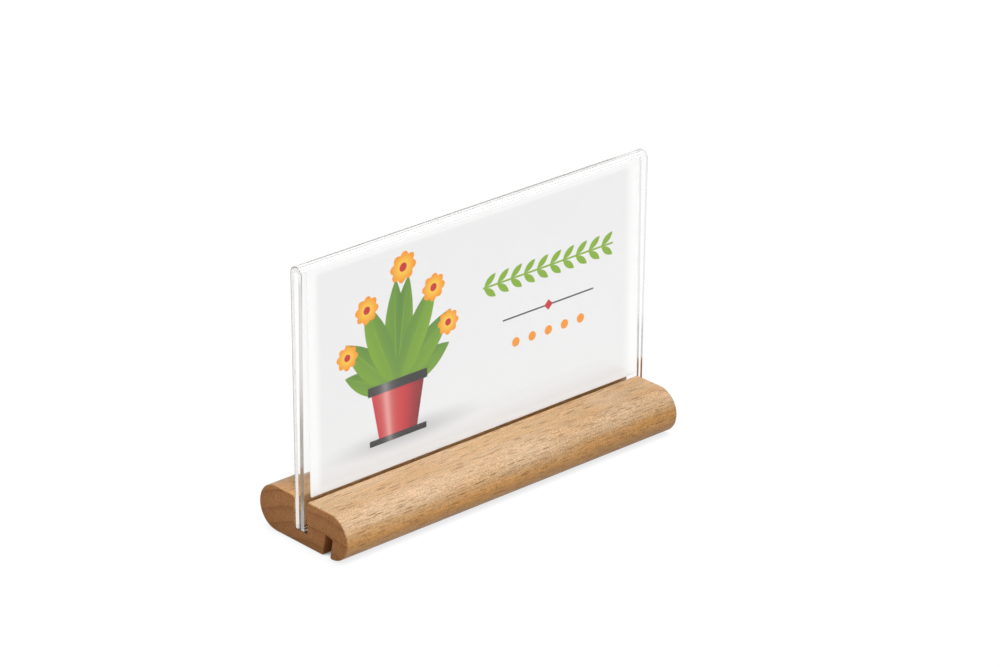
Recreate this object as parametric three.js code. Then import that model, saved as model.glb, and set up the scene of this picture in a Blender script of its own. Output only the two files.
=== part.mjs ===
// Table-top sign holder, in millimetres: a round-sided wooden bar with a slot along its top,
// a clear sheet folded over into a sleeve that stands in the slot, and a card inside the sleeve.
// X runs along the bar, the front faces -Y and Z is up.
// The origin is on the table, under the middle of the whole.

import * as THREE from "three";

// Insert card: the size that the holder is made for
const cardWidth = 148;
const cardHeight = 81;
const cardThickness = 0.4;

// Sleeve: one sheet, folded over the card
const sheetThickness = 1.8;
const bendInnerRadius = 1.1;
const cardFootPlay = 0.3;
const cardLeftMargin = 4.2;
const cardRightMargin = 1.8;
const cardRearClearance = 0.15;

// Base bar: the sleeve stands level with its left end and runs past its right end
const baseDepth = 45.2;
const baseHeight = 16.5;
const sleeveOverhang = 4;
const endEase = 0.25;
const mouthEase = 0.5;

// Slot in the top, a little behind the middle; the card dips into its mouth
const slotDepth = 11.5;
const slotSetBack = 1.2;
const slotRearClearance = 0.8;
const slotFrontClearance = 1.5;
const cardDip = 0.7;

// Groove in the underside, for a card that leans back when the bar is turned over;
// a narrow flat land lies between it and the round front
const grooveWidth = 3.5;
const grooveDepth = 7.8;
const grooveLeanDegrees = 12;
const grooveLand = 0.85;

// Smoothness of round stretches
const arcSegments = 12;
const easeSegments = 2;

// Places along the bar
const sleeveLength = cardLeftMargin + cardWidth + cardRightMargin;
const baseLength = sleeveLength - sleeveOverhang;
const baseCentreX = -sleeveOverhang / 2;
const cardCentreX = (cardLeftMargin - cardRightMargin) / 2;

// Places across the bar: the sleeve's legs follow from the slot's walls
const sideRadius = baseHeight / 2;
const flatHalfDepth = baseDepth / 2 - sideRadius;
const footGap = cardThickness + cardFootPlay;
const slotWidth = slotFrontClearance + 2 * sheetThickness + footGap + slotRearClearance;
const slotRearY = slotSetBack + slotWidth / 2;
const slotFrontY = slotSetBack - slotWidth / 2;
const rearLegOuterY = slotRearY - slotRearClearance;
const rearLegInnerY = rearLegOuterY - sheetThickness;
const bendCentreY = rearLegInnerY - bendInnerRadius;
const cardCentreY = rearLegInnerY - cardRearClearance - cardThickness / 2;

// Heights: the sleeve rests on the slot's floor, and the card reaches up to where the bend starts
const slotFloorZ = baseHeight - slotDepth;
const cardBottomZ = baseHeight - cardDip;
const bendCentreZ = cardBottomZ + cardHeight;

const wood = new THREE.MeshStandardMaterial({ color: 0xd9b184, roughness: 0.55, metalness: 0 });
const paper = new THREE.MeshStandardMaterial({ color: 0xededed, roughness: 0.8, metalness: 0 });
const clearAcrylic = new THREE.MeshStandardMaterial({
  color: 0xf4f7f6,
  roughness: 0.05,
  metalness: 0,
  transparent: true,
  opacity: 0.3,
});

// Draws up to a corner where the wood stands out and round it, with its edge eased over
function easeCorner(shape, before, corner, after) {
  const back = before.clone().sub(corner).normalize();
  const ahead = after.clone().sub(corner).normalize();
  const halfAngle = Math.acos(back.dot(ahead)) / 2;
  const setback = mouthEase / Math.tan(halfAngle);
  const start = corner.clone().addScaledVector(back, setback);
  const end = corner.clone().addScaledVector(ahead, setback);
  const middle = back.add(ahead).normalize();
  const centre = corner.clone().addScaledVector(middle, mouthEase / Math.sin(halfAngle));
  const startAngle = start.sub(centre).angle();
  const endAngle = end.sub(centre).angle();
  shape.absarc(centre.x, centre.y, mouthEase, startAngle, endAngle, false);
}

// Runs a cross-section, drawn across the bar and upwards, along X about the middle of its length
function runAlongBar(shape, length, ease) {
  const geometry = new THREE.ExtrudeGeometry(shape, {
    depth: length - 2 * ease,
    curveSegments: arcSegments,
    bevelEnabled: ease > 0,
    bevelThickness: ease,
    bevelSize: ease,
    bevelOffset: -ease,
    bevelSegments: easeSegments,
  });
  geometry.translate(0, 0, ease - length / 2);
  const across = new THREE.Vector3(0, 1, 0);
  const up = new THREE.Vector3(0, 0, 1);
  const along = new THREE.Vector3(1, 0, 0);
  return geometry.applyMatrix4(new THREE.Matrix4().makeBasis(across, up, along));
}

// The underside groove's corners: a square cut, leaned so that its mouth is further back than its ceiling
function grooveCorners() {
  const lean = THREE.MathUtils.degToRad(grooveLeanDegrees);
  const mouthHalf = grooveWidth / 2 / Math.cos(lean);
  const mouthCentre = new THREE.Vector2(grooveLand + mouthHalf - flatHalfDepth, 0);
  const inwards = new THREE.Vector2(-Math.sin(lean), Math.cos(lean));
  const rearwards = new THREE.Vector2(Math.cos(lean), Math.sin(lean));
  const ceiling = mouthCentre.clone().addScaledVector(inwards, grooveDepth);
  return {
    mouthFront: mouthCentre.clone().add(new THREE.Vector2(-mouthHalf, 0)),
    mouthRear: mouthCentre.clone().add(new THREE.Vector2(mouthHalf, 0)),
    ceilingFront: ceiling.clone().addScaledVector(rearwards, -grooveWidth / 2),
    ceilingRear: ceiling.clone().addScaledVector(rearwards, grooveWidth / 2),
  };
}

// The bar's section, anticlockwise from the rear end of its flat underside
function baseSection() {
  const groove = grooveCorners();
  const topRear = new THREE.Vector2(flatHalfDepth, baseHeight);
  const topFront = new THREE.Vector2(-flatHalfDepth, baseHeight);
  const bottomRear = new THREE.Vector2(flatHalfDepth, 0);
  const bottomFront = new THREE.Vector2(-flatHalfDepth, 0);
  const slotFloorRear = new THREE.Vector2(slotRearY, slotFloorZ);
  const slotFloorFront = new THREE.Vector2(slotFrontY, slotFloorZ);

  const shape = new THREE.Shape();
  shape.absarc(flatHalfDepth, sideRadius, sideRadius, -Math.PI / 2, Math.PI / 2, false);
  easeCorner(shape, topRear, new THREE.Vector2(slotRearY, baseHeight), slotFloorRear);
  shape.lineTo(slotFloorRear.x, slotFloorRear.y);
  shape.lineTo(slotFloorFront.x, slotFloorFront.y);
  easeCorner(shape, slotFloorFront, new THREE.Vector2(slotFrontY, baseHeight), topFront);
  shape.absarc(-flatHalfDepth, sideRadius, sideRadius, Math.PI / 2, (3 * Math.PI) / 2, false);
  easeCorner(shape, bottomFront, groove.mouthFront, groove.ceilingFront);
  shape.lineTo(groove.ceilingFront.x, groove.ceilingFront.y);
  shape.lineTo(groove.ceilingRear.x, groove.ceilingRear.y);
  easeCorner(shape, groove.ceilingRear, groove.mouthRear, bottomRear);
  shape.closePath();
  return shape;
}

// The sleeve's section: an upright rear leg, a round bend over the top,
// and a front leg that draws in towards the rear one on its way down to the slot
function sleeveSection() {
  const bendOuterRadius = bendInnerRadius + sheetThickness;
  const footFromBend = rearLegInnerY - footGap - bendCentreY;
  const legDrop = bendCentreZ - slotFloorZ;
  const footDistance = Math.hypot(footFromBend, legDrop);
  const lean = Math.atan2(footFromBend, legDrop) + Math.asin(bendInnerRadius / footDistance);
  const bendEnd = Math.PI + lean;

  // Where the front leg's face that leaves the bend at this radius meets the slot's floor
  const frontFootY = (radius) => {
    const leaveY = bendCentreY + radius * Math.cos(bendEnd);
    const leaveZ = bendCentreZ + radius * Math.sin(bendEnd);
    return leaveY + (leaveZ - slotFloorZ) * Math.tan(lean);
  };

  const shape = new THREE.Shape();
  shape.absarc(bendCentreY, bendCentreZ, bendOuterRadius, 0, bendEnd, false);
  shape.lineTo(frontFootY(bendOuterRadius), slotFloorZ);
  shape.lineTo(frontFootY(bendInnerRadius), slotFloorZ);
  shape.absarc(bendCentreY, bendCentreZ, bendInnerRadius, bendEnd, 0, true);
  shape.lineTo(rearLegInnerY, slotFloorZ);
  shape.lineTo(rearLegOuterY, slotFloorZ);
  shape.closePath();
  return shape;
}

const signHolder = new THREE.Group();

const base = new THREE.Mesh(runAlongBar(baseSection(), baseLength, endEase), wood);
base.name = "wood_base";
base.position.x = baseCentreX;
signHolder.add(base);

const sleeve = new THREE.Mesh(runAlongBar(sleeveSection(), sleeveLength, 0), clearAcrylic);
sleeve.name = "acrylic_sleeve";
signHolder.add(sleeve);

const card = new THREE.Mesh(new THREE.BoxGeometry(cardWidth, cardThickness, cardHeight), paper);
card.name = "insert_card";
card.position.set(cardCentreX, cardCentreY, cardBottomZ + cardHeight / 2);
signHolder.add(card);

export default signHolder;
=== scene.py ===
"""Dresses a table-top sign holder in a white studio: a beech bar, a clear sleeve and a printed card.

Lengths are metres, apart from places in materials, which are millimetres.
X runs along the bar, the front faces -Y and Z is up.
"""

import math

import bpy
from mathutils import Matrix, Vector


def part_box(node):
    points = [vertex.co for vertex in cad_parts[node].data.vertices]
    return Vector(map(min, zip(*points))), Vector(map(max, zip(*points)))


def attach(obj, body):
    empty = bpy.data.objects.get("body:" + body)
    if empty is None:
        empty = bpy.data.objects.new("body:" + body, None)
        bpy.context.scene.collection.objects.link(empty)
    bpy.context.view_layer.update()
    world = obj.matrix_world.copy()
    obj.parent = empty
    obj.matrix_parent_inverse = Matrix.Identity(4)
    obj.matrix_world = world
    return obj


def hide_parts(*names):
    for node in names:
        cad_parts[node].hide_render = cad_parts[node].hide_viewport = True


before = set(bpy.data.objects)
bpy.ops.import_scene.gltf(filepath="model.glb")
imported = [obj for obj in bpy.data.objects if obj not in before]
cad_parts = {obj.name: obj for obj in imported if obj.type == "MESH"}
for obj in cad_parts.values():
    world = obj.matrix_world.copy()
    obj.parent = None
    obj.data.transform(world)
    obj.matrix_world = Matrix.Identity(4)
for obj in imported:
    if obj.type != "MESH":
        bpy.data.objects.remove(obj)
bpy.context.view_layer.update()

bl_info = {
    "name": "Table-top sign holder",
    "version": (1, 0, 0),
    "blender": (4, 5, 0),
    "location": "3D View > Sidebar > Sign Holder",
    "description": "Builds a beech sign holder with a clear folded sleeve and a printed card",
    "category": "Object",
}

MM = 0.001
BAR_LOW, BAR_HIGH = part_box("wood_base")
SLEEVE_LOW, SLEEVE_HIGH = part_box("acrylic_sleeve")
CARD_LOW, CARD_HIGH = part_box("insert_card")

# The sleeve's bend: its outer radius and its centre
BEND_RADIUS = (SLEEVE_HIGH.y - SLEEVE_LOW.y) / 2
BEND_Y = SLEEVE_HIGH.y - BEND_RADIUS
BEND_Z = SLEEVE_HIGH.z - BEND_RADIUS

# Turns that stand a flat outline upright, with its length along the bar or towards the front
ALONG_BAR = (math.pi / 2, 0, math.pi / 2)
TOWARDS_FRONT = (math.pi / 2, 0, 0)

# Where the looks of the sleeve's left end give way to those of its right end
MIDDLE_FADE = (-10.0, 10.0)

# How far a face's normal has to point along an axis: flat faces alone, or with their eased edges
SQUARELY = 0.9
ROUGHLY = 0.5


def length_setting(name, description, default):
    return bpy.props.FloatProperty(name=name, description=description, default=default, unit="LENGTH")


def angle_setting(name, description, degrees):
    return bpy.props.FloatProperty(
        name=name, description=description, default=math.radians(degrees), unit="ROTATION"
    )


def level_setting(name, description, default):
    return bpy.props.FloatProperty(name=name, description=description, default=default, min=0.0)


def colour_setting(name, description, default):
    return bpy.props.FloatVectorProperty(
        name=name, description=description, default=default, size=3, subtype="COLOR", min=0.0, max=1.0
    )


def group_setting(name, description, kind):
    return bpy.props.PointerProperty(name=name, description=description, type=kind)


class BarSettings(bpy.types.PropertyGroup):
    """Sizes and colours of the beech bar."""

    slot_rear_play: length_setting("Slot rear play", "Gap between sleeve and slot's rear wall", 0.8 * MM)
    slot_width: length_setting("Slot width", "Width of the slot in the top", 6.6 * MM)
    groove_width: length_setting("Groove width", "Width of the slanted groove in the underside", 3.5 * MM)
    groove_depth: length_setting("Groove depth", "Depth of the groove along its slant", 7.8 * MM)
    groove_lean: angle_setting("Groove lean", "Slant of the groove from upright", 12)
    groove_land: length_setting("Groove land", "Flat strip between round front and groove", 0.85 * MM)
    mouth_ease: length_setting("Mouth ease", "Rounding of the slot's and groove's mouths", 0.75 * MM)
    cutter_ease: length_setting("Cutter ease", "Rounding in the corners of slot and groove", 0.3 * MM)
    end_ease: length_setting("End ease", "Rounding of the edges at the sawn ends", 0.42 * MM)
    pale_wood: colour_setting("Pale wood", "Early wood along the grain", (0.69, 0.462, 0.258))
    # Warm wood is also painted on the lower round sides and the rear top as shade.
    warm_wood: colour_setting("Warm wood", "Warmer streaks along the grain", (0.71, 0.355, 0.112))
    rosy_wood: colour_setting("Rosy wood", "Rosy patches along the grain", (0.73, 0.50, 0.31))
    fleck: colour_setting("Ray fleck", "Short dark flecks along the grain", (0.28, 0.125, 0.045))
    saw_cut: colour_setting("Saw cut", "Walls of the slot and the groove", (0.80, 0.43, 0.14))
    bounced_light: colour_setting("Bounced light", "Light thrown on to the card", (0.48, 0.48, 0.48))
    end_wood: colour_setting("End grain", "Sawn ends, darker from the oil they drink", (0.63, 0.280, 0.096))
    end_ring: colour_setting("Late wood", "Growth ring lines on the sawn ends", (0.43, 0.165, 0.050))


class SleeveSettings(bpy.types.PropertyGroup):
    """Sizes and finish of the clear folded sleeve."""

    sheet: length_setting("Sheet", "Thickness of the clear sheet", 1.8 * MM)
    foot_gap: length_setting("Foot gap", "Gap between the two legs at the bottom", 0.7 * MM)
    edge_ease: length_setting("Edge ease", "Rounding that polishing leaves on the cut edges", 0.2 * MM)
    tint: colour_setting("Tint", "Colour of the clear sheet", (0.96, 0.961, 0.96))
    # Painted shade for the dark line along the fold.
    painted_fold_shade: colour_setting("Fold tint", "Colour of the rear half of the fold", (0.72, 0.71, 0.65))
    edge_tint: colour_setting("Edge tint", "Colour of the cut edges", (0.885, 0.885, 0.88))
    # Painted reflection: cut edges darkened where they would mirror the bar.
    painted_bar_reflection: colour_setting("Smoky edge", "Colour of cut edges that mirror the bar", (0.20, 0.16, 0.12))
    edge_roughness: level_setting("Edge roughness", "Roughness of the cut edges", 0.14)
    edge_shine: level_setting("Edge shine", "Share of the cut edges that shines with gathered light", 0.45)


class CardSettings(bpy.types.PropertyGroup):
    """Sizes and inks of the printed card."""

    corner: length_setting("Corner", "Rounding of the card's corners", 0.4 * MM)
    paper: colour_setting("Paper", "Bare card", (0.955, 0.955, 0.95))
    field: colour_setting("Field", "Pale printed ground", (0.835, 0.835, 0.835))
    reverse: colour_setting("Reverse", "Soft panel on the back", (0.38, 0.385, 0.365))
    red: colour_setting("Red ink", "Pot, hearts of the blossoms and diamond", (0.56, 0.012, 0.022))
    black: colour_setting("Black ink", "Rim, saucer and rule", (0.012, 0.011, 0.012))
    orange: colour_setting("Orange ink", "Blossoms and dots", (0.90, 0.30, 0.010))
    yellow: colour_setting("Yellow ink", "Inner petals of the blossoms", (0.92, 0.62, 0.06))
    green: colour_setting("Green ink", "Sprig, and light on the leaves", (0.22, 0.40, 0.012))
    leaf: colour_setting("Leaf ink", "Leaves of the plant", (0.075, 0.20, 0.035))


class StudioSettings(bpy.types.PropertyGroup):
    """Camera and light."""

    aim: bpy.props.FloatVectorProperty(
        name="Aim",
        description="Point that the camera looks at",
        default=(0.016, 0.0061, 0.0467),
        unit="LENGTH",
    )
    azimuth: angle_setting("Azimuth", "Camera's turn round the object from the front", -42.04)
    elevation: angle_setting("Elevation", "Camera's height angle", 24.07)
    distance: length_setting("Distance", "Camera's distance from the aim", 1.44)
    lens: bpy.props.FloatProperty(name="Lens", description="Focal length", default=152.33, unit="CAMERA")
    ambient: level_setting("Ambient", "Even light from all round", 0.36)
    key: level_setting("Key", "White facing the main lamp", 0.72)
    key_azimuth: angle_setting("Key azimuth", "Main lamp's turn from the front", 20)
    key_elevation: angle_setting("Key elevation", "Main lamp's height angle", 62)
    rear: level_setting("Rear light", "White facing the rear lamp", 0.25)
    rear_azimuth: angle_setting("Rear azimuth", "Rear lamp's turn from the front", 150)
    rear_elevation: angle_setting("Rear elevation", "Rear lamp's height angle", 40)
    card_light: level_setting("Card light", "White facing the lamp that only the card gets", 0.54)
    card_rear_light: level_setting("Card rear light", "White facing the lamp for the card's back", 0.50)
    card_azimuth: angle_setting("Card lamp azimuth", "Card lamp's turn from the front", -45)
    card_rear_azimuth: angle_setting("Card rear lamp azimuth", "Rear card lamp's turn from the front", 200)
    card_elevation: angle_setting("Card lamp elevation", "Card lamps' height angle", 12)
    softness: angle_setting("Softness", "Angle that each lamp spans in the sky", 32)


class SignHolderSettings(bpy.types.PropertyGroup):
    """All settings of the sign holder."""

    bar: group_setting("Bar", "The beech bar", BarSettings)
    sleeve: group_setting("Sleeve", "The clear folded sleeve", SleeveSettings)
    card: group_setting("Card", "The printed card", CardSettings)
    studio: group_setting("Studio", "Camera and light", StudioSettings)


class Socket:
    """A node's output that takes part in Python sums: each sign adds a Math node to its tree."""

    def __init__(self, owner, socket):
        self.owner = owner
        self.socket = socket

    def math(self, operation, *values):
        return self.owner.node("ShaderNodeMath", {"operation": operation}, dict(enumerate(values)))

    def __add__(self, other):
        return self.math("ADD", self, other)

    def __radd__(self, other):
        return self.math("ADD", other, self)

    def __sub__(self, other):
        return self.math("SUBTRACT", self, other)

    def __rsub__(self, other):
        return self.math("SUBTRACT", other, self)

    def __mul__(self, other):
        return self.math("MULTIPLY", self, other)

    def __rmul__(self, other):
        return self.math("MULTIPLY", other, self)

    def __truediv__(self, other):
        return self.math("DIVIDE", self, other)

    def __rtruediv__(self, other):
        return self.math("DIVIDE", other, self)

    def __abs__(self):
        return self.math("ABSOLUTE", self)

    def least(self, other):
        return self.math("MINIMUM", self, other)

    def most(self, other):
        return self.math("MAXIMUM", self, other)

    def fraction(self):
        return self.math("FRACT", self)

    def cosine(self):
        return self.math("COSINE", self)

    def hypotenuse(self, other):
        """How far a point at these two places is from their zero."""
        return self.math("SQRT", self * self + other * other)

    def rise(self, low, high):
        """A smooth step from 0 at low to 1 at high."""
        settings = {"interpolation_type": "SMOOTHSTEP"}
        return self.owner.node("ShaderNodeMapRange", settings, {"Value": self, 1: low, 2: high})

    def fall(self, low, high):
        """A smooth step from 1 at low to 0 at high."""
        return 1 - self.rise(low, high)


class NodeTree:
    """A node tree that is filled in by plain expressions."""

    def __init__(self, tree):
        self.tree = tree

    def node(self, kind, settings=None, inputs=None, output=0):
        """Adds a node: its settings first, then the values or links of its sockets."""
        node = self.tree.nodes.new(kind)
        for name, value in (settings or {}).items():
            setattr(node, name, value)
        for name, value in (inputs or {}).items():
            if isinstance(value, Socket):
                self.tree.links.new(value.socket, node.inputs[name])
            else:
                node.inputs[name].default_value = value
        return Socket(self, node.outputs[output]) if node.outputs else None


class Paint(NodeTree):
    """The shader nodes of a material or a world."""

    def __init__(self, owner):
        owner.use_nodes = True
        super().__init__(owner.node_tree)
        self.tree.nodes.clear()

    def ray(self, fact):
        """What is known of the ray that meets the surface."""
        return self.node("ShaderNodeLightPath", output=fact)

    def from_inside(self):
        """1 where the ray meets the surface from within."""
        return self.node("ShaderNodeNewGeometry", output="Backfacing")

    def place(self, scale=(1, 1, 1), shift=(0, 0, 0)):
        """Object coordinates in millimetres, stretched and shifted."""
        inputs = {
            "Vector": self.node("ShaderNodeTexCoord", output="Object"),
            "Scale": [factor / MM for factor in scale],
            "Location": shift,
        }
        return self.node("ShaderNodeMapping", None, inputs)

    def parts(self, vector):
        """A vector's three numbers."""
        first = self.node("ShaderNodeSeparateXYZ", None, {"Vector": vector})
        return [Socket(self, socket) for socket in first.socket.node.outputs]

    def noise(self, swells, detail=2.0, roughness=0.5):
        """Even noise from 0 to 1, with about so many swells to a millimetre along each axis."""
        inputs = {"Vector": self.place(swells), "Scale": 1.0, "Detail": detail, "Roughness": roughness}
        return self.node("ShaderNodeTexNoise", None, inputs)

    def mix(self, share, first, second):
        """A colour between two, each plain or from a socket; a share below 0 or above 1 stops there."""
        inputs = {0: share}
        for index, colour in ((6, first), (7, second)):
            inputs[index] = colour if isinstance(colour, Socket) else opaque(colour)
        return self.node("ShaderNodeMix", {"data_type": "RGBA"}, inputs, 2)

    def shaded(self, colour, shade):
        """A colour made darker or lighter by a number."""
        return self.node("ShaderNodeVectorMath", {"operation": "SCALE"}, {0: colour, "Scale": shade})

    def mix_shaders(self, share, first, second):
        return self.node("ShaderNodeMixShader", None, {0: share, 1: first, 2: second})

    def finish(self, shader, kind="ShaderNodeOutputMaterial"):
        self.node(kind, None, {"Surface": shader})


def opaque(colour):
    return (*colour, 1.0)


def grey(level):
    return (level, level, level, 1.0)


def weighted(base, *terms):
    """A base value plus each pattern times its weight."""
    for pattern, weight in terms:
        base = base + pattern * weight
    return base


def new_material(name):
    material = bpy.data.materials.new(name)
    return material, Paint(material)


def fine_relief(paint, colour, roughness, pattern, depth, strength, gloss):
    """A plain surface with a pattern pressed into it to a depth."""
    relief = {"Strength": strength, "Distance": depth, "Height": pattern}
    inputs = {
        "Base Color": colour,
        "Roughness": roughness,
        "Normal": paint.node("ShaderNodeBump", None, relief),
        "Specular IOR Level": gloss,
    }
    return paint.node("ShaderNodeBsdfPrincipled", None, inputs)


def satin_wood(paint, colour, roughness, pattern, bounced=None):
    """Oiled wood with a soft sheen and a fine relief.

    bounced is the colour of the light that the wood throws on to the card, where that differs.
    """
    depth, strength, gloss = 0.06 * MM, 0.35, 0.22
    wood = fine_relief(paint, colour, roughness, pattern, depth, strength, gloss)
    if bounced is not None:
        plain = paint.node("ShaderNodeBsdfDiffuse", None, {"Color": opaque(bounced)})
        wood = paint.mix_shaders(paint.ray("Is Diffuse Ray"), wood, plain)
    paint.finish(wood)


def growth_rings(paint):
    """Late wood, 0 to 1, of the plank that gave the bar: swaying rings round a pith below it."""
    pith_in_front, pith_below, ring_spacing, swing = 10.0, 62.0, 5.4, 3.0
    late, latest, ring_end, gentle = 0.40, 0.78, 0.95, 0.6
    _, y, z = paint.parts(paint.place())
    sway = paint.noise((0.011, 0.03, 0.03), 1.0) - 0.5
    wander = paint.noise((0.004, 0.05, 0.05), 0.0) - 0.5
    radius = (y + pith_in_front).hypotenuse(z + pith_below) + sway * swing + wander * swing
    ring = (radius / ring_spacing).fraction()
    darkening = ring.rise(late, ring_end) * gentle + ring.rise(latest, ring_end) * (1 - gentle)
    return darkening * ring.fall(ring_end, 1.0)


def ray_flecks(paint, length, thickness, share, shift):
    """Slender flecks along the grain, in a share of the cells that they could fill."""
    blur, least_reach, spare_reach, core, faintest = 0.02, 0.20, 0.16, 0.6, 0.35
    cells = paint.place((1 / length, 1 / thickness, 1 / thickness), shift)
    inputs = {"Vector": cells, "Scale": 1.0, "Randomness": 1.0}
    distance = paint.node("ShaderNodeTexVoronoi", None, inputs, "Distance")
    colour = Socket(paint, distance.socket.node.outputs["Color"])
    chance, size, depth = paint.parts(colour)
    present = chance.fall(share - blur, share + blur)
    reach = least_reach + size * spare_reach
    return (distance / reach).fall(core, 1.0) * present * (faintest + depth * (1 - faintest))


def long_grain_beech(settings):
    """Oiled beech along the grain: pale ground, warm streaks and short dark flecks, with painted shade on
    the lower round sides and rear top and a painted sheen high on the round sides.
    """
    material, paint = new_material("beech_long_grain")
    late_wood = growth_rings(paint)
    fibres = paint.noise((0.12, 1.9, 1.9), 3.0, 0.65)
    streaks = paint.noise((0.014, 0.28, 0.28), 2.0)
    patches = paint.noise((0.035, 0.10, 0.10), 1.0)
    speckle = paint.noise((2.2, 1.7, 1.7), 2.0, 0.7)
    stains = paint.noise((0.28, 0.55, 0.55), 3.0, 0.6)
    bold = ray_flecks(paint, length=9.0, thickness=0.78, share=0.90, shift=(3.1, 0.0, 7.7))
    faint = ray_flecks(paint, length=7.0, thickness=0.55, share=1.00, shift=(11.3, 5.9, 2.2))

    # Regions of the bar that differ in tone, some by painted shade and painted sheen
    x, y, z = paint.parts(paint.place())
    middle = (BAR_LOW.x + BAR_HIGH.x) / 2 / MM
    half_length = (BAR_HIGH.x - BAR_LOW.x) / 2 / MM
    rim = (half_length - abs(x - middle)).fall(0.2, 0.6)
    round_side = abs(y).rise(15.0, 17.0)
    # Painted shade: the rear top behind the slot and the lower round sides are warmer and more saturated,
    # as wood in shade looks.
    painted_shade_behind_slot = y.rise(2.0, 8.0) * y.fall(13.0, 17.0)
    side = (round_side * z.fall(8.0, 12.5)).most(painted_shade_behind_slot * 1.05)
    # Painted sheen: a paler, rosier and lighter band high on the round sides.
    painted_sheen_band = round_side * z.rise(11.0, 13.0)
    # Painted shade: darker along the bottom of the round sides, by the floor.
    painted_low_shade = round_side * z.fall(1.0, 4.0)
    warmer_right = x.rise(-40.0, 90.0)
    darker_right = x.rise(-45.0, 75.0)

    warmth = weighted(
        0.5 - speckle,
        (streaks.rise(0.28, 0.74), 0.38),
        (late_wood, 0.25),
        (side, 0.75),
        (warmer_right, 0.20),
        (rim, 0.6),
    )
    ground = paint.mix(warmth, settings.pale_wood, settings.warm_wood)
    rosy_share = patches.rise(0.40, 0.70) * (0.6 - side * 0.5) + painted_sheen_band * (speckle * 1.6 - 0.4)
    rosy = paint.mix(rosy_share, ground, settings.rosy_wood)
    blotch = stains.rise(0.52, 0.70) * side
    mark = (bold * 0.95).most(faint * 0.7).most(blotch * 0.42)
    flecked = paint.mix(mark, rosy, settings.fleck)
    # Besides grain and tone, the shade holds the painted shade and the painted sheen.
    shade = weighted(
        0.92,
        (side, 0.09),
        (painted_sheen_band, 0.06),
        (fibres - 0.5, 0.75),
        (speckle - 0.5, 1.15),
        (darker_right, -0.17),
        (painted_low_shade, -0.25),
        (rim, -0.14),
    )
    roughness = weighted(0.40, (fibres, 0.12), (bold, 0.15))
    pattern = fibres - bold - faint * 0.4
    satin_wood(paint, paint.shaded(flecked, shade), roughness, pattern, settings.bounced_light)
    return material


def end_grain_beech(settings):
    """Sawn ends of the same plank: ring lines, fine rays across them and open pores, with painted light
    that makes them lighter towards the top.
    """
    material, paint = new_material("beech_end_grain")
    late_wood = growth_rings(paint)
    mottle = paint.noise((0.2, 0.35, 0.35), 3.0, 0.6)
    rays = paint.noise((0.2, 1.6, 0.25), 2.0)
    pores = paint.noise((1.0, 1.3, 1.3), 2.0, 0.7)
    _, _, z = paint.parts(paint.place())
    # Painted light and shade: lighter towards the top, darker towards the bottom.
    painted_light_upwards = z.rise(-4.0, 20.0)
    darkness = weighted(0.26, (late_wood, 0.62), (mottle - 0.5, 1.20), (rays.rise(0.50, 0.75), -0.30))
    ground = paint.mix(darkness, settings.end_wood, settings.end_ring)
    shade = weighted(0.26, (painted_light_upwards, 0.20), (mottle, 0.14), (pores, 1.25))
    pattern = pores * 0.7 + rays * 0.3
    satin_wood(paint, paint.shaded(ground, shade), 0.50 + pores * 0.2, pattern)
    return material


def saw_cut_beech(settings):
    """Walls of the slot and the groove: fine saw lines along the cut, with painted shade that makes them
    darker and browner lower down.
    """
    material, paint = new_material("beech_saw_cut")
    lines = paint.noise((0.02, 3.0, 3.0), 2.0)
    mottle = paint.noise((0.12, 0.4, 0.4), 2.0)
    _, y, z = paint.parts(paint.place())
    # Painted shade: lower down in the slot and the groove the walls take a darker colour, and low in the
    # slot they are darkened further.
    high = z.rise(7.0, 13.0)
    painted_shade_low_in_slot = z.fall(6.0, 13.0) * y.rise(-7.0, -5.0)
    painted_shade_deep = paint.mix(mottle.rise(0.3, 0.7) * 0.5, settings.end_ring, settings.fleck)
    ground = paint.mix(high, painted_shade_deep, settings.saw_cut)
    shade = (1.05 + lines * 0.3) * (1 - painted_shade_low_in_slot * 0.64)
    satin_wood(paint, paint.shaded(ground, shade), 0.62 + lines * 0.2, lines)
    return material


def acrylic_surface(material, paint, colour, roughness, gathered):
    """Clear sheet that bends what is seen through it and lets the lamps' light pass to the card.

    gathered is the share of a cut edge that shines with the light that the sheet gathers. More of that
    light is painted in as a plain glow at the rear leg's left foot, which rays mirrored inside the sheet
    meet.
    """
    glass = paint.node(
        "ShaderNodeBsdfPrincipled",
        None,
        {
            "Base Color": colour,
            "Roughness": roughness,
            "Metallic": gathered,
            "IOR": 1.49,
            "Specular Tint": grey(0.3),
            "Transmission Weight": 1.0,
        },
    )
    passing = paint.node("ShaderNodeBsdfTransparent", None, {"Color": grey(0.992)})
    # Painted light: a plain glow that stands in for light gathered by the sheet.
    painted_glow_colour = (1.0, 0.97, 0.92)
    glow = paint.node("ShaderNodeEmission", None, {"Color": opaque(painted_glow_colour), "Strength": 0.9})
    # The painted glow is only seen: it is not a lamp
    material.cycles.emission_sampling = "NONE"
    x, y, z = paint.parts(paint.place())
    painted_glow_place = z.fall(15.0, 18.0) * y.rise(1.2, 1.6) * x.fall(*MIDDLE_FADE)
    into_first_sheet = paint.ray("Transmission Depth").fall(1.4, 1.6)
    trapped = paint.from_inside() * (1 - paint.ray("Is Diffuse Ray")) * painted_glow_place * into_first_sheet
    passing_or_painted_glow = paint.mix_shaders(trapped, passing, glow)
    surface = paint.mix_shaders(paint.ray("Is Shadow Ray"), glass, passing)
    paint.finish(paint.mix_shaders(paint.ray("Is Reflection Ray"), surface, passing_or_painted_glow))


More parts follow.
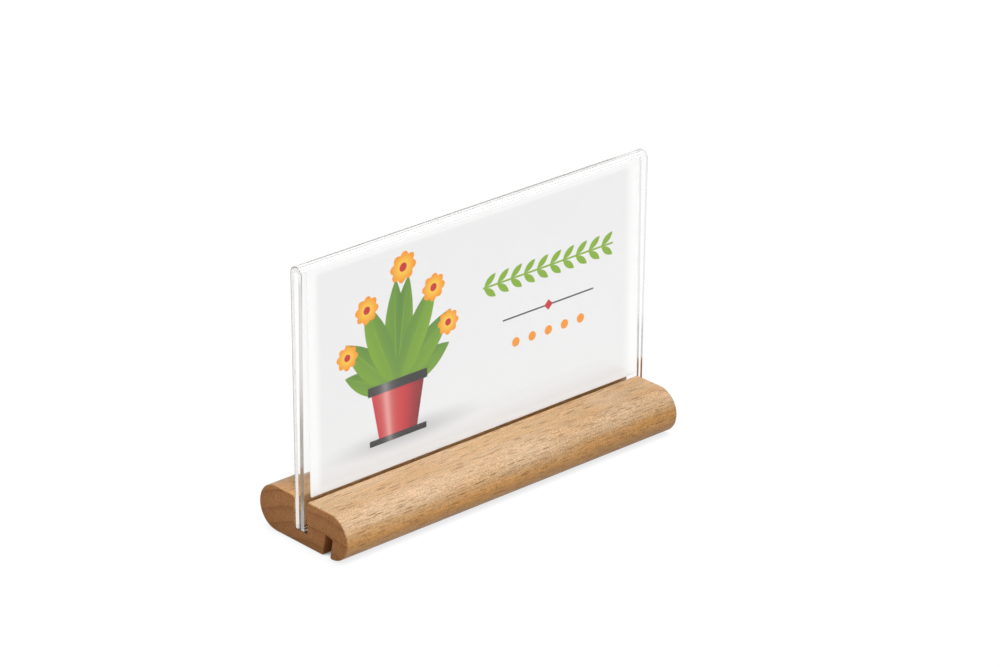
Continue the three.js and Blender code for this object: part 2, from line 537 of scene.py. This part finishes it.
def clear_sheet(settings):
    """Polished faces of the sheet, with faint smears from wiping and painted shade on the rear half of the
    fold, for the dark line that the bend shows.
    """
    material, paint = new_material("clear_sheet")
    smears = paint.noise((0.04, 0.04, 0.09), 3.0, 0.6)
    _, y, z = paint.parts(paint.place())
    # Painted shade: a greyer band on the rear half of the fold.
    painted_fold_shade_area = y.rise(0.6, 1.2) * z.rise(98.5, 99.0)
    tone = paint.mix(painted_fold_shade_area, settings.tint, settings.painted_fold_shade)
    acrylic_surface(material, paint, tone, roughness=smears * 0.02, gathered=0.0)
    return material


def cut_edge(settings):
    """Ends and feet of the sheet: bright, with painted reflections of the bar: a darker front leg and a
    dark outline at the left end.

    The right end has a painted dark reflection low down, where it is seen from inside the sheet.
    """
    material, paint = new_material("cut_edge")
    smears = paint.noise((0.5, 0.5, 0.09), 3.0, 0.6)
    x, y, z = paint.parts(paint.place())
    left_end = x.fall(*MIDDLE_FADE)
    # Painted reflections of the bar: the edges are darkened towards the smoky colour on the front leg, low
    # on the right end seen from inside, and a little everywhere.
    front_leg = y.fall(1.4, 1.7) * z.fall(93.0, 97.0) * z.rise(10.0, 19.0)
    thin_painted_reflection, more_painted_reflection, least_painted_reflection = 0.34, 0.5, 0.07
    painted_front_leg_reflection = front_leg * (thin_painted_reflection + z.fall(40.0, 66.0) * more_painted_reflection)
    # Painted shade: a dark outline round the outer rim of the left end.
    from_bend = (y - BEND_Y / MM).hypotenuse((z - BEND_Z / MM).most(0.0))
    outline = from_bend.rise(2.45, 2.75) * z.rise(14.0, 18.0)
    painted_low_right_reflection = x.rise(70.0, 76.0) * z.fall(32.0, 40.0) * paint.from_inside()
    painted_reflection_share = (painted_front_leg_reflection.most(outline) * left_end).most(painted_low_right_reflection).most(least_painted_reflection)
    tone = paint.mix(painted_reflection_share * (0.8 + smears * 0.4), settings.edge_tint, settings.painted_bar_reflection)
    roughness = settings.edge_roughness * (0.7 + smears * 0.6)
    acrylic_surface(material, paint, tone, roughness, settings.edge_shine)
    return material


def card_places(paint):
    """Places on the card: across from its middle and up from its foot; and its half width and height."""
    middle_x = (CARD_LOW.x + CARD_HIGH.x) / 2 / MM
    bottom_z = CARD_LOW.z / MM
    half_width = (CARD_HIGH.x - CARD_LOW.x) / 2 / MM
    height = (CARD_HIGH.z - CARD_LOW.z) / MM
    across, _, up = paint.parts(paint.place(shift=(-middle_x, 0, -bottom_z)))
    return across, up, half_width, height


def card_fibres(paint):
    return paint.noise((1.6, 1.6, 1.6), 3.0, 0.6)


def card_finish(paint, colour, fibres, roughness, strength, gloss):
    """Matt card with a faint tooth."""
    depth = 0.02 * MM
    uneven = roughness + fibres * 0.12
    paint.finish(fine_relief(paint, colour, uneven, fibres, depth, strength, gloss))


def plain_card(settings):
    """Edges and reverse of the card: white, with a soft grey panel on the reverse."""
    material, paint = new_material("card_reverse")
    across, up, half_width, height = card_places(paint)
    fibres = card_fibres(paint)
    border, fade = 3.8, 7.5
    from_sides = (half_width - abs(across)).rise(border, fade)
    from_ends = (height / 2 - abs(up - height / 2)).rise(border, fade)
    panel = from_sides * from_ends * (0.88 + fibres * 0.12)
    tone = paint.mix(panel, settings.paper, settings.reverse)
    card_finish(paint, tone, fibres, roughness=0.55, strength=0.1, gloss=0.35)
    return material


class Print:
    """Flat shapes printed over each other on the card; places are millimetres from its lower middle."""

    edge = 0.12

    def __init__(self, paint, across, up, ground):
        self.paint = paint
        self.across = across
        self.up = up
        self.colour = ground

    def ink(self, cover, colour):
        """Prints a colour, plain or from a socket, where cover is 1."""
        self.colour = self.paint.mix(cover, self.colour, colour)

    def inside(self, distance, soft=edge):
        """1 where the distance from an outline is below 0, with a soft edge."""
        return distance.fall(-soft, soft)

    def ellipse(self, middle, half_width, half_height, soft):
        wide = (self.across - middle[0]) / half_width
        tall = (self.up - middle[1]) / half_height
        return self.inside((wide.hypotenuse(tall) - 1) * min(half_width, half_height), soft)

    def bar(self, middle, half_width, half_height):
        wide = abs(self.across - middle[0]) - half_width
        tall = abs(self.up - middle[1]) - half_height
        return self.inside(wide.most(tall))

    def leaf(self, across, up, base, degrees, length, half_width):
        """A lens-shaped leaf from its base, at an angle from upright.

        Gives where it covers, how far a point is aside of its middle, and how broad it is there.
        """
        lean_across, lean_up = math.sin(math.radians(degrees)), math.cos(math.radians(degrees))
        right = across - base[0]
        rise = up - base[1]
        along = right * lean_across + rise * lean_up
        aside = right * lean_up - rise * lean_across
        from_middle = along / (length / 2) - 1
        breadth = (1 - from_middle * from_middle) * half_width
        return self.inside(abs(aside) - breadth), aside, breadth


def print_plant(card, settings):
    """A glazed pot of leaves and blossoms that are the same on both sides of a swaying middle."""
    paint, across, up = card.paint, card.across, card.up
    plant_x, ground_z, pot_top = -36.0, 11.0, 30.0
    soft_grey, dark_glaze = (0.25, 0.25, 0.26), (0.10, 0.003, 0.006)
    pale_gleam, grey_gleam = (0.95, 0.55, 0.5), (0.6, 0.6, 0.6)
    shadow = card.ellipse((plant_x + 3, ground_z - 0.5), half_width=21, half_height=3.2, soft=3.0)
    card.ink(shadow * 0.45, soft_grey)

    bend = (up - pot_top) * 0.07
    swayed = across - bend * bend * 0.35
    side = abs(swayed - plant_x)
    root = (0.0, pot_top - 2)
    rib_share, rib_least = 0.06, 0.05
    for degrees, length, half_width, light in (
        (4, 40, 4.6, 0.0),
        (66, 25, 4.4, 0.15),
        (46, 32, 4.8, 0.35),
        (24, 38, 4.8, 0.6),
    ):
        cover, aside, breadth = card.leaf(side, up, root, degrees, length, half_width)
        rib = card.inside(abs(aside) - breadth * rib_share - rib_least) * cover
        slope = (aside / half_width).rise(-1.2, 1.2)
        card.ink(cover, paint.mix(slope * 0.6 + light * 0.4, settings.leaf, settings.green))
        card.ink(rib * 0.5, settings.green)

    petal_pairs, notch, heart = 4, 0.20, 0.28
    for place_across, place_up, size in ((0.0, 71.0, 5.6), (14.5, 60.0, 5.0), (22.0, 45.5, 4.6)):
        right = side - place_across
        rise = up - place_up
        reach = right.hypotenuse(rise)
        turn = rise.math("ARCTAN2", rise, right)
        petals = size * (1 - notch + abs((turn * petal_pairs).cosine()) * notch)
        petal_tone = paint.mix(reach.rise(0.5, size), settings.yellow, settings.orange)
        card.ink(card.inside(reach - petals), petal_tone)
        card.ink(card.inside(reach - size * heart), settings.red)

    pot_rise = (up - ground_z) / (pot_top - ground_z)
    pot_foot_half, pot_flare, gleam_place, gleam_width = 8.2, 3.6, -0.45, 0.16
    pot_half = pot_foot_half + pot_rise * pot_flare
    from_middle = across - plant_x
    pot = card.inside((abs(from_middle) - pot_half).most(ground_z - up).most(up - pot_top))
    roundness = from_middle / pot_half
    gleam = (roundness - gleam_place) / gleam_width
    lit = (1 / (1 + gleam * gleam)) * 0.55
    dark = roundness.rise(0.1, 1.0) * 0.75
    glaze = paint.mix(dark, settings.red, dark_glaze)
    card.ink(pot, paint.mix(lit, glaze, pale_gleam))
    black_glaze = paint.mix(lit * 0.6, settings.black, grey_gleam)
    for height, half_width, half_height in ((pot_top, 13.0, 1.7), (ground_z, 12.5, 1.1)):
        card.ink(card.bar((plant_x, height), half_width, half_height), black_glaze)


def print_sprig(card, settings):
    """A level sprig, and below it a rule with a diamond and a row of dots."""
    across, up = card.across, card.up
    sprig_left, sprig_right, sprig_up, leaf_pitch, stem_half = 2.0, 62.0, 53.0, 6.0, 0.35
    middle = (sprig_left + sprig_right) / 2
    from_middle = abs(across - middle)
    cell = ((across - sprig_left) / leaf_pitch).fraction() * leaf_pitch
    beside = abs(up - sprig_up)
    leaf, _, _ = card.leaf(cell, beside, base=(0.6, 0.2), degrees=52, length=6.6, half_width=1.25)
    stem = card.inside(beside - stem_half)
    within = card.inside(from_middle - (sprig_right - sprig_left) / 2)
    card.ink(leaf.most(stem) * within, settings.green)

    rule_up, rule_half, rule_half_height, diamond_half = 38.5, 21.0, 0.28, 2.0
    card.ink(card.bar((middle, rule_up), rule_half, rule_half_height), settings.black)
    card.ink(card.inside(from_middle + abs(up - rule_up) - diamond_half), settings.red)

    dots_up, dot_pitch, dots_half, dot_radius = 29.0, 7.5, 18.75, 1.7
    dot_right = (((across - middle + dots_half) / dot_pitch).fraction() - 0.5) * dot_pitch
    dot = card.inside(dot_right.hypotenuse(up - dots_up) - dot_radius)
    card.ink(dot * card.inside(from_middle - dots_half), settings.orange)


def printed_card(settings):
    """Pale field with a soft white border, a potted plant on the left and a sprig on the right."""
    material, paint = new_material("printed_card")
    across, up, half_width, height = card_places(paint)

    # From each edge of the card: where the field starts to show and where it is full
    from_left = (across + half_width).rise(2.0, 5.8)
    from_right = (half_width - across).rise(2.0, 7.4)
    from_top = (height - up).rise(0.6, 3.2)
    from_foot = up.rise(0.0, 3.6)
    field = paint.mix(from_left * from_right * from_top * from_foot, settings.paper, settings.field)
    card = Print(paint, across, up, field)
    print_plant(card, settings)
    print_sprig(card, settings)
    card_finish(paint, card.colour, card_fibres(paint), roughness=0.48, strength=0.06, gloss=0.4)
    return material


def rounded_extrusion():
    """Node tree: rounds an outline's corners by each point's radius and gives it length, turn and place."""
    group = bpy.data.node_groups.new("rounded_extrusion", "GeometryNodeTree")
    identifiers = {}
    for name, kind in (
        ("Outline", "NodeSocketGeometry"),
        ("Corner Steps", "NodeSocketInt"),
        ("Length", "NodeSocketFloat"),
        ("Turn", "NodeSocketRotation"),
        ("Place", "NodeSocketVector"),
        ("Material", "NodeSocketMaterial"),
    ):
        socket = group.interface.new_socket(name=name, in_out="INPUT", socket_type=kind)
        identifiers[name] = socket.identifier
    group.interface.new_socket(name="Mesh", in_out="OUTPUT", socket_type="NodeSocketGeometry")

    shape = NodeTree(group)
    given = {name: shape.node("NodeGroupInput", output=name) for name in identifiers}
    corners = {
        "Curve": given["Outline"],
        "Count": given["Corner Steps"],
        "Radius": shape.node("GeometryNodeInputRadius"),
        "Limit Radius": True,
    }
    rounded = shape.node("GeometryNodeFilletCurve", {"mode": "POLY"}, corners)
    cap = shape.node("GeometryNodeFillCurve", {"mode": "NGONS"}, {"Curve": rounded})
    offset = shape.node("ShaderNodeCombineXYZ", None, {"Z": given["Length"]})
    extrusion = {"Mesh": cap, "Offset": offset, "Individual": False}
    walls = shape.node("GeometryNodeExtrudeMesh", None, extrusion)
    other_cap = shape.node("GeometryNodeFlipFaces", None, {"Mesh": cap})
    joined = shape.node("GeometryNodeJoinGeometry", None, {0: walls})
    group.links.new(other_cap.socket, joined.socket.node.inputs[0])
    closed = shape.node("GeometryNodeMergeByDistance", None, {"Geometry": joined, "Distance": 0.002 * MM})
    place = {"Geometry": closed, "Rotation": given["Turn"], "Translation": given["Place"]}
    placed = shape.node("GeometryNodeTransform", None, place)
    whole = shape.node("GeometryNodeRealizeInstances", None, {"Geometry": placed})
    finish = {"Geometry": whole, "Material": given["Material"]}
    finished = shape.node("GeometryNodeSetMaterial", None, finish)
    shape.node("NodeGroupOutput", None, {0: finished})
    return group, identifiers


def evaluated_mesh(maker):
    """The mesh that an object's modifiers make, as plain data."""
    bpy.context.view_layer.update()
    graph = bpy.context.evaluated_depsgraph_get()
    return bpy.data.meshes.new_from_object(maker.evaluated_get(graph), depsgraph=graph)


def link(thing):
    bpy.context.scene.collection.objects.link(thing)
    return thing


def make_piece(name, corners, sizes, ease, material):
    """A solid from a flat outline of (across, up, rounding) corners, with its sharp edges eased."""
    curve = bpy.data.curves.new(name + "_outline", "CURVE")
    curve.dimensions = "3D"
    spline = curve.splines.new("POLY")
    spline.points.add(len(corners) - 1)
    spline.use_cyclic_u = True
    for point, (across, up, rounding) in zip(spline.points, corners):
        point.co = (across, up, 0.0, 1.0)
        point.radius = rounding
    maker = link(bpy.data.objects.new(name + "_outline", curve))
    solid = maker.modifiers.new("solid", "NODES")
    solid.node_group, identifiers = rounded_extrusion()
    for input_name, value in {**sizes, "Material": material}.items():
        solid[identifiers[input_name]] = value
    piece = link(bpy.data.objects.new(name, evaluated_mesh(maker)))
    bpy.data.objects.remove(maker)
    if not piece.data.polygons:
        raise RuntimeError(name + " has no faces")

    bevel = piece.modifiers.new("ease", "BEVEL")
    bevel.width = ease
    bevel.segments = 3
    bevel.use_clamp_overlap = False
    bevel.limit_method = "ANGLE"
    bevel.angle_limit = math.radians(50)
    piece.data.shade_smooth()
    even = piece.modifiers.new("even", "WEIGHTED_NORMAL")
    even.keep_sharp = True
    rough_mesh = piece.data
    piece.data = evaluated_mesh(piece)
    piece.modifiers.clear()
    bpy.data.meshes.remove(rough_mesh)
    piece.data.name = name
    return piece


def dress(piece, material, test):
    """Gives the faces that pass a test another material."""
    index = len(piece.data.materials)
    piece.data.materials.append(material)
    chosen = [polygon for polygon in piece.data.polygons if test(polygon)]
    if not chosen:
        raise RuntimeError(f"{piece.name} has no face for {material.name}")
    for polygon in chosen:
        polygon.material_index = index


class SIGNHOLDER_OT_bar(bpy.types.Operator):
    """Make the beech bar with its slot and its slanted groove"""

    bl_idname = "signholder.bar"
    bl_label = "Beech Bar"

    def execute(self, context):
        bar = context.scene.sign_holder.bar
        height = BAR_HIGH.z
        half_depth = BAR_HIGH.y
        side = height / 2
        slot_rear = SLEEVE_HIGH.y + bar.slot_rear_play
        slot_front = slot_rear - bar.slot_width
        slot_floor = SLEEVE_LOW.z
        lean = bar.groove_lean
        mouth_half = bar.groove_width / 2 / math.cos(lean)
        mouth = Vector((side + bar.groove_land + mouth_half - half_depth, 0))
        inwards = Vector((-math.sin(lean), math.cos(lean)))
        rearwards = Vector((math.cos(lean), math.sin(lean)))
        ceiling_front = mouth + inwards * bar.groove_depth - rearwards * bar.groove_width / 2
        ceiling_rear = mouth + inwards * bar.groove_depth + rearwards * bar.groove_width / 2
        corners = [
            (half_depth, 0, side),
            (half_depth, height, side),
            (slot_rear, height, bar.mouth_ease),
            (slot_rear, slot_floor, bar.cutter_ease),
            (slot_front, slot_floor, bar.cutter_ease),
            (slot_front, height, bar.mouth_ease),
            (-half_depth, height, side),
            (-half_depth, 0, side),
            (mouth.x - mouth_half, 0, bar.mouth_ease),
            (*ceiling_front, bar.cutter_ease),
            (*ceiling_rear, bar.cutter_ease),
            (mouth.x + mouth_half, 0, bar.mouth_ease),
        ]
        sizes = {
            "Corner Steps": 20,
            "Length": BAR_HIGH.x - BAR_LOW.x,
            "Turn": ALONG_BAR,
            "Place": (BAR_LOW.x, 0, 0),
        }
        piece = make_piece("beech_bar", corners, sizes, bar.end_ease, long_grain_beech(bar))
        groove_half = bar.groove_width / 2 + bar.cutter_ease
        groove_top = bar.groove_depth + bar.cutter_ease

        def in_slot(place):
            return slot_front < place.y < slot_rear and place.z < height - bar.mouth_ease

        def in_groove(place):
            from_mouth = Vector(place.yz) - mouth
            beside = abs(from_mouth.dot(rearwards))
            return beside < groove_half and bar.mouth_ease < from_mouth.y < groove_top

        def is_end(face):
            return abs(face.normal.x) > SQUARELY

        def is_cut(face):
            return not is_end(face) and (in_slot(face.center) or in_groove(face.center))

        dress(piece, saw_cut_beech(bar), is_cut)
        dress(piece, end_grain_beech(bar), is_end)
        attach(piece, "base")
        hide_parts("wood_base")
        return {"FINISHED"}


class SIGNHOLDER_OT_sleeve(bpy.types.Operator):
    """Make the clear sheet that is folded over the card"""

    bl_idname = "signholder.sleeve"
    bl_label = "Folded Sleeve"

    def execute(self, context):
        sleeve = context.scene.sign_holder.sleeve
        floor, top = SLEEVE_LOW.z, SLEEVE_HIGH.z
        rear_outer = SLEEVE_HIGH.y
        rear_inner = rear_outer - sleeve.sheet
        inner_radius = BEND_RADIUS - sleeve.sheet
        inner_top = BEND_Z + inner_radius
        foot_from_bend = rear_inner - sleeve.foot_gap - BEND_Y
        drop = BEND_Z - floor
        lean = math.atan2(foot_from_bend, drop) + math.asin(inner_radius / math.hypot(foot_from_bend, drop))

        def front_face(radius, z):
            """Where the front leg's face that leaves the bend at this radius lies at a height."""
            return BEND_Y - radius / math.cos(lean) + (BEND_Z - z) * math.tan(lean)

        ease = sleeve.edge_ease
        corners = [
            (rear_outer, floor, ease),
            (rear_outer, top, BEND_RADIUS),
            (front_face(BEND_RADIUS, top), top, BEND_RADIUS),
            (front_face(BEND_RADIUS, floor), floor, ease),
            (front_face(inner_radius, floor), floor, ease),
            (front_face(inner_radius, inner_top), inner_top, inner_radius),
            (rear_inner, inner_top, inner_radius),
            (rear_inner, floor, ease),
        ]
        sizes = {
            "Corner Steps": 24,
            "Length": SLEEVE_HIGH.x - SLEEVE_LOW.x,
            "Turn": ALONG_BAR,
            "Place": (SLEEVE_LOW.x, 0, 0),
        }
        piece = make_piece("folded_sleeve", corners, sizes, ease / 2, clear_sheet(sleeve))

        def is_edge(face):
            return abs(face.normal.x) > ROUGHLY or face.normal.z < -ROUGHLY

        dress(piece, cut_edge(sleeve), is_edge)
        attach(piece, "sleeve")
        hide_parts("acrylic_sleeve")
        return {"FINISHED"}


class SIGNHOLDER_OT_card(bpy.types.Operator):
    """Make the printed card"""

    bl_idname = "signholder.card"
    bl_label = "Printed Card"

    def execute(self, context):
        card = context.scene.sign_holder.card
        corners = [
            (CARD_LOW.x, CARD_LOW.z, card.corner),
            (CARD_HIGH.x, CARD_LOW.z, card.corner),
            (CARD_HIGH.x, CARD_HIGH.z, card.corner),
            (CARD_LOW.x, CARD_HIGH.z, card.corner),
        ]
        thickness = CARD_HIGH.y - CARD_LOW.y
        sizes = {
            "Corner Steps": 6,
            "Length": thickness,
            "Turn": TOWARDS_FRONT,
            "Place": (0, CARD_HIGH.y, 0),
        }
        ease = thickness / 8
        piece = make_piece("printed_card", corners, sizes, ease, plain_card(card))

        def is_front(face):
            return face.normal.y < -SQUARELY

        dress(piece, printed_card(card), is_front)
        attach(piece, "card")
        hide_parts("insert_card")
        return {"FINISHED"}


def direction(azimuth, elevation):
    """Towards a place seen at an azimuth from the front and an elevation."""
    level = math.cos(elevation)
    return Vector((math.sin(azimuth) * level, -math.cos(azimuth) * level, math.sin(elevation)))


def add_lamp(name, level, azimuth, elevation, softness):
    """A broad far lamp; level is how bright white shows when it faces the lamp."""
    lamp = bpy.data.lights.new(name, "SUN")
    lamp.energy = level * math.pi
    lamp.angle = softness
    holder = link(bpy.data.objects.new(name, lamp))
    holder.rotation_euler = direction(azimuth, elevation).to_track_quat("Z", "Y").to_euler()
    return holder


def light_only(lamp, piece):
    """Keeps a lamp's light on one piece."""
    lit = bpy.data.collections.new(lamp.name + "_lit")
    lit.objects.link(piece)
    lamp.light_linking.receiver_collection = lit


def seen_rays(paint):
    """1 for rays that show something: from the camera, in a reflection or through clear sheet."""
    mirrored_or_through = paint.ray("Is Glossy Ray").most(paint.ray("Is Transmission Ray"))
    return paint.ray("Is Camera Ray").most(mirrored_or_through)


def outer_reflections(paint):
    """1 for rays mirrored by the outside of a piece, which have not been through the sheet."""
    mirrored = paint.ray("Is Glossy Ray") * (1 - paint.ray("Is Transmission Ray"))
    return mirrored * (1 - paint.ray("Transmission Depth").least(1.0))


def make_floor():
    """A white sweep that keeps the object's shadow, with painted shade near the object and under the bar,
    and lights it no more than grey card would.
    """
    material, paint = new_material("white_sweep")
    shadow_share, own_light, bounce, mirrored, painted_contact_shade = 0.08, 0.94, 0.42, 0.02, 0.18
    contact_reach, cover_reach, cover_share = 2.4 * MM, 20 * MM, 0.85
    dull = paint.node("ShaderNodeBsdfDiffuse", None, {"Color": grey(bounce)})
    shaded = paint.node("ShaderNodeBsdfDiffuse", None, {"Color": grey(shadow_share)})
    openness, cover = [
        paint.node("ShaderNodeAmbientOcclusion", {"samples": 8}, {"Distance": reach}, "AO")
        for reach in (contact_reach, cover_reach)
    ]
    _, depth, _ = paint.parts(paint.place())
    # Painted shade under the bar, where the floor is nearly covered.
    flat_underside = abs(depth).fall(14.0, 14.4)
    painted_shade_under_bar = flat_underside * cover.fall(0.04, 0.40) * cover_share
    in_front = depth.fall(-250.0, -40.0)
    dimmed = outer_reflections(paint) * in_front * (1 - mirrored)
    # Painted shade: the floor's glow is darkened near the object and under the bar.
    strength = own_light * (1 - painted_contact_shade + painted_contact_shade * openness) * (1 - painted_shade_under_bar) * (1 - dimmed)
    glow = paint.node("ShaderNodeEmission", None, {"Color": grey(1.0), "Strength": strength})
    white = paint.node("ShaderNodeAddShader", None, {0: shaded, 1: glow})
    paint.finish(paint.mix_shaders(seen_rays(paint), dull, white))
    half = 4.0
    mesh = bpy.data.meshes.new("floor")
    corners = [(-half, -half, 0), (half, -half, 0), (half, half, 0), (-half, half, 0)]
    mesh.from_pydata(corners, [], [(0, 1, 2, 3)])
    mesh.materials.append(material)
    link(bpy.data.objects.new("floor", mesh))


def make_world(ambient):
    """White where it is seen, dimmer in outer reflections, most of all overhead, and even ambient light."""
    world = bpy.data.worlds.new("studio")
    bpy.context.scene.world = world
    paint = Paint(world)
    _, _, height = paint.parts(paint.node("ShaderNodeTexCoord", output="Generated"))
    dimmed, dimmed_more = 0.65, 0.20
    dimming = dimmed + height.rise(0.3, 0.9) * dimmed_more
    brightness = (1 - outer_reflections(paint) * dimming).most(paint.ray("Is Camera Ray"))
    soft, seen = [
        paint.node("ShaderNodeBackground", None, {"Color": grey(1.0), "Strength": strength})
        for strength in (ambient, brightness)
    ]
    paint.finish(paint.mix_shaders(seen_rays(paint), soft, seen), "ShaderNodeOutputWorld")


class SIGNHOLDER_OT_studio(bpy.types.Operator):
    """Set up the white floor, the lamps and the camera"""

    bl_idname = "signholder.studio"
    bl_label = "Studio"

    def execute(self, context):
        studio = context.scene.sign_holder.studio
        make_floor()
        make_world(studio.ambient)
        card = bpy.data.objects["printed_card"]
        low = studio.card_elevation
        for name, level, azimuth, elevation, only in (
            ("key_lamp", studio.key, studio.key_azimuth, studio.key_elevation, None),
            ("rear_lamp", studio.rear, studio.rear_azimuth, studio.rear_elevation, None),
            ("card_lamp", studio.card_light, studio.card_azimuth, low, card),
            ("card_rear_lamp", studio.card_rear_light, studio.card_rear_azimuth, low, card),
        ):
            lamp = add_lamp(name, level, azimuth, elevation, studio.softness)
            if only is not None:
                light_only(lamp, only)
        camera = bpy.data.cameras.new("camera")
        camera.lens = studio.lens
        camera.sensor_fit = "HORIZONTAL"
        camera.sensor_width = 36.0
        camera.clip_end = 20.0
        holder = link(bpy.data.objects.new("camera", camera))
        back = direction(studio.azimuth, studio.elevation)
        holder.location = Vector(studio.aim) + back * studio.distance
        holder.rotation_euler = back.to_track_quat("Z", "Y").to_euler()
        context.scene.camera = holder
        context.scene.view_settings.view_transform = "Standard"
        return {"FINISHED"}


OPERATORS = (SIGNHOLDER_OT_bar, SIGNHOLDER_OT_sleeve, SIGNHOLDER_OT_card, SIGNHOLDER_OT_studio)


class SIGNHOLDER_PT_panel(bpy.types.Panel):
    """Lists the pieces and the studio"""

    bl_idname = "SIGNHOLDER_PT_panel"
    bl_label = "Sign Holder"
    bl_space_type = "VIEW_3D"
    bl_region_type = "UI"
    bl_category = "Sign Holder"

    def draw(self, context):
        for operator in OPERATORS:
            self.layout.operator(operator.bl_idname)


CLASSES = (
    BarSettings,
    SleeveSettings,
    CardSettings,
    StudioSettings,
    SignHolderSettings,
    *OPERATORS,
    SIGNHOLDER_PT_panel,
)


def register():
    for item in CLASSES:
        bpy.utils.register_class(item)
    bpy.types.Scene.sign_holder = bpy.props.PointerProperty(type=SignHolderSettings)


def unregister():
    del bpy.types.Scene.sign_holder
    for item in reversed(CLASSES):
        bpy.utils.unregister_class(item)


def main():
    register()
    bpy.ops.signholder.bar()
    bpy.ops.signholder.sleeve()
    bpy.ops.signholder.card()
    bpy.ops.signholder.studio()


if __name__ == "__main__":
    main()
